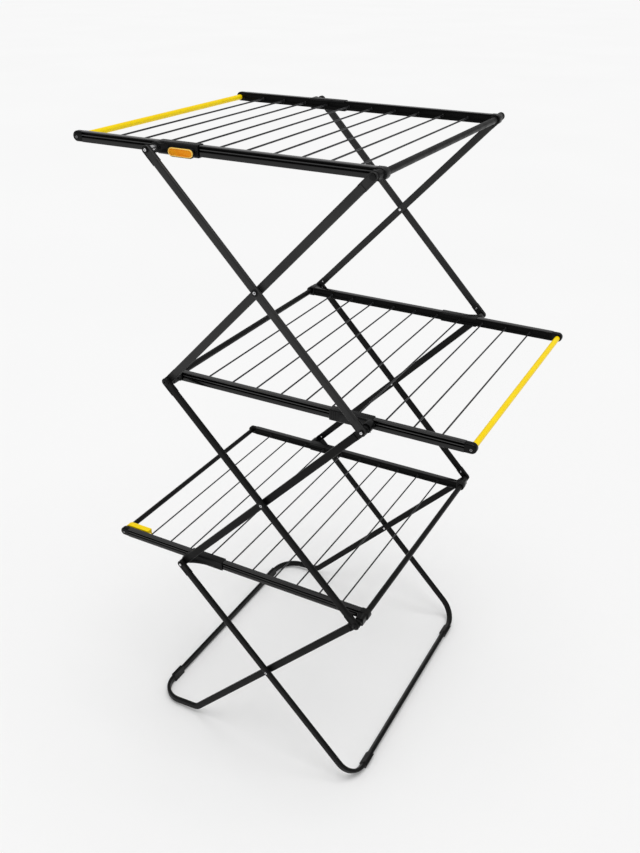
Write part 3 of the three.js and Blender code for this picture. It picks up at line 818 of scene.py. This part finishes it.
def make_button():
    """A crowned orange key on a flat stem, with a paler raised rim."""
    low, high = box_mm("lock_button")
    centre = Vector(((low.x + high.x) / 2, low.y, (low.z + high.z) / 2))
    length, height = high.x - low.x, high.z - low.z
    bm = bmesh.new()
    levels = [(0.0, -5.6), (0.0, -1.8), (0.8, -1.2), (2.2, -0.7), (3.8, -0.35), (5.2, -0.25)]
    dished(bm, length - 3, height - 3, centre, levels)
    stem = rounded_box(left=-6, bottom=-1.5, right=6, top=1.5, radius=0.3)
    straight(bm, stem, centre + Y * 5, Vector((centre.x, high.y, centre.z)), X, Z)
    piece("lock_button_key", bm, "lock_button", ORANGE, ["lock_button"])
    bm = bmesh.new()
    levels = [(0.0, -5.8), (0.0, -1.1), (0.3, -0.4), (0.9, 0.0),
              (1.4, -0.1), (1.7, -0.6), (1.9, -1.4), (1.9, -5.8)]
    dished(bm, length, height, centre, levels)
    piece("lock_button_rim", bm, "lock_button", AMBER)


# ---- stage -----------------------------------------------------------------------------------


def make_floor():
    bm = bmesh.new()
    bmesh.ops.create_grid(bm, x_segments=2, y_segments=2, size=FLOOR_HALF_SIZE)
    mesh = bpy.data.meshes.new("floor")
    bm.to_mesh(mesh)
    bm.free()
    finish = Finish("studio_floor", Specular_IOR_Level=0.0, Roughness=0.9)
    finish.vary_colour(finish.noise(0.6, 2), (0.905, 0.905, 0.905), (0.915, 0.915, 0.915))
    mesh.materials.append(finish.material)
    floor = bpy.data.objects.new("studio_floor", mesh)
    floor.location = (0, 0, FLOOR_Z)
    bpy.context.scene.collection.objects.link(floor)


def make_light():
    """An even room and one broad soft key from overhead."""
    world = bpy.data.worlds.new("studio")
    world.use_nodes = True
    background = world.node_tree.nodes["Background"]
    background.inputs["Color"].default_value = (1, 1, 1, 1)
    background.inputs["Strength"].default_value = ROOM_LIGHT
    bpy.context.scene.world = world
    key = bpy.data.lights.new("key", "SUN")
    key.angle = math.radians(KEY_SPREAD_DEGREES)
    key.energy = KEY_LIGHT
    lamp = bpy.data.objects.new("key", key)
    lamp.rotation_euler = KEY_DIRECTION.to_track_quat("-Z", "Y").to_euler()
    bpy.context.scene.collection.objects.link(lamp)
    bpy.context.scene.view_settings.view_transform = "Standard"


def make_camera():
    """Looks down from the front right."""
    yaw, pitch, roll = (math.radians(a) for a in (CAMERA_YAW, CAMERA_PITCH, CAMERA_ROLL))
    forward = Vector((
        -math.sin(yaw) * math.cos(pitch),
        math.cos(yaw) * math.cos(pitch),
        -math.sin(pitch),
    ))
    level = Vector((math.cos(yaw), math.sin(yaw), 0))
    upright = level.cross(forward)
    right = level * math.cos(roll) + upright * math.sin(roll)
    up = upright * math.cos(roll) - level * math.sin(roll)
    camera = bpy.data.cameras.new("camera")
    camera.sensor_fit = "HORIZONTAL"
    camera.sensor_width = 36
    camera.lens = CAMERA_LENS
    camera.clip_end = 200
    viewer = bpy.data.objects.new("camera", camera)
    turn = Matrix((right, up, -forward)).transposed().to_4x4()
    viewer.matrix_world = Matrix.Translation(CAMERA_AT) @ turn
    bpy.context.scene.collection.objects.link(viewer)
    bpy.context.scene.camera = viewer


# ---- assembly --------------------------------------------------------------------------------


def make_legs():
    # The upper legs take the lighter copy of the powder coat as painted light, the lower legs the
    # darker one.
    legs = {
        "upper_outer": ("top_slider_pivot", "middle_slider_pivot", OUTER_Y, UPPER_TUBE_LIT),
        "upper_inner": ("top_rack_pivot", "middle_rack_pivot", INNER_Y, UPPER_TUBE_LIT),
        "lower_outer": ("middle_rack_pivot", "fold", OUTER_Y, TUBE),
        "lower_inner": ("middle_slider_pivot", "bottom_slider_pivot", INNER_Y, TUBE),
    }
    for name, (top, bottom, plane_y, coat) in legs.items():
        make_leg(f"{name}_leg", f"{name}_legs", joint_at[top], joint_at[bottom], plane_y, coat)


def make_feet():
    """The right frame runs straight from the left joint to the floor. The left one has a kink."""
    crossing = joint_at["foot_cross"]
    left_joint = joint_at["bottom_slider_pivot"]
    right_joint = joint_at["fold"]
    slope = (left_joint - crossing).normalized()
    reach = (crossing.z - FLOOR_BAR_Z) / slope.z
    right_bar = Vector((crossing.x - slope.x * reach, 0, FLOOR_BAR_Z))
    kink = Vector((crossing.x + slope.x * KINK_REACH, 0, crossing.z - slope.z * KINK_REACH))
    left_bar = Vector((LEFT_BAR_X, 0, FLOOR_BAR_Z))
    outer = Y * -OUTER_Y
    inner = Y * -INNER_Y
    make_foot_frame(
        "right_foot_frame", "right_foot",
        [(left_joint + outer, 0), (right_bar + outer, RIGHT_BEND_R)],
        Vector((slope.z, 0, -slope.x)),
    )
    make_foot_frame(
        "left_foot_frame", "left_foot",
        [(right_joint + inner, 0), (kink + inner, KINK_R), (left_bar + inner, LEFT_BEND_R)],
        Vector((slope.z, 0, slope.x)),
    )


def make_pads_and_pins(side_name):
    for foot in ("right_foot", "left_foot"):
        refined(f"{foot}_pad_{side_name}", foot, RUBBER, edge=0.8)
    steel = {
        "bottom_cross_pin": "left_foot",
        "middle_cross_pin": "lower_inner_legs",
        "top_cross_pin": "upper_inner_legs",
    }
    for name, body in steel.items():
        make_pin(f"{name}_{side_name}", body, STEEL)
    for name in ("bottom", "middle"):
        make_pin(f"{name}_hinge_pin_{side_name}", f"{name}_rack", PLASTIC)


for rack in (
    Rack("bottom", "fold", "end_tube"),
    Rack("middle", "middle_rack_pivot", "yellow_bar"),
    Rack("top", "top_rack_pivot", "yellow_bar"),
):
    make_rack(rack)
    for side_name in SIDES:
        make_shoe(rack, side_name)
make_legs()
make_feet()
for side_name in SIDES:
    make_pads_and_pins(side_name)
make_button()
refined("carrying_clip", "carrying_clip", YELLOW, edge=0.8, segments=3)

make_floor()
make_light()
make_camera()
